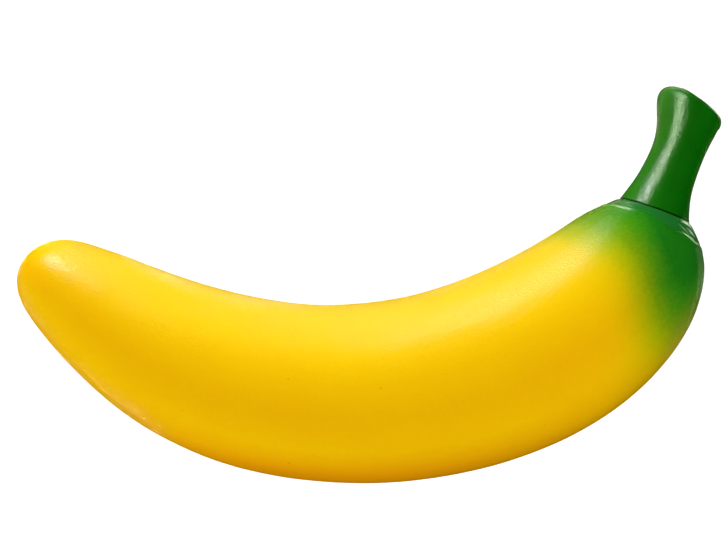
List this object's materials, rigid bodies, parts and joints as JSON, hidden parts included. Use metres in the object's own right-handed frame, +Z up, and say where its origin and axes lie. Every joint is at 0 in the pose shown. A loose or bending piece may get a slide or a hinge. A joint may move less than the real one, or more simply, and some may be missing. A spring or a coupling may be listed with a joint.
{
  "type": "imitation banana",
  "caption": "Imitation banana for display or play, lying on its side: a smooth curved body with a rounded tip and a soft collar, and a flared stem with a slanting cut plugged into it.",
  "frame": {"origin": "middle of the footprint of the whole object as it lies, at the surface it lies on", "axes": "+X along the longest extent, from the rounded tip to the stem; +Y towards the inside of the bend, where the stem points; +Z up. The plane that the fruit bends in is tilted about 13 degrees from the surface, because the piece rolls until its weight is over its low points"},
  "size_m": [0.18, 0.1004, 0.048],
  "materials": {
    "sprayed_skin": "satin yellow plastic with a faint pebbled grain, sprayed green over the shoulder and the collar with a soft edge",
    "glossy_green": "glossy dark green plastic with fine lengthwise grain"
  },
  "bodies": {
    "root": {"body": "sprayed_skin", "stem": "glossy_green"}
  },
  "joints": []
}
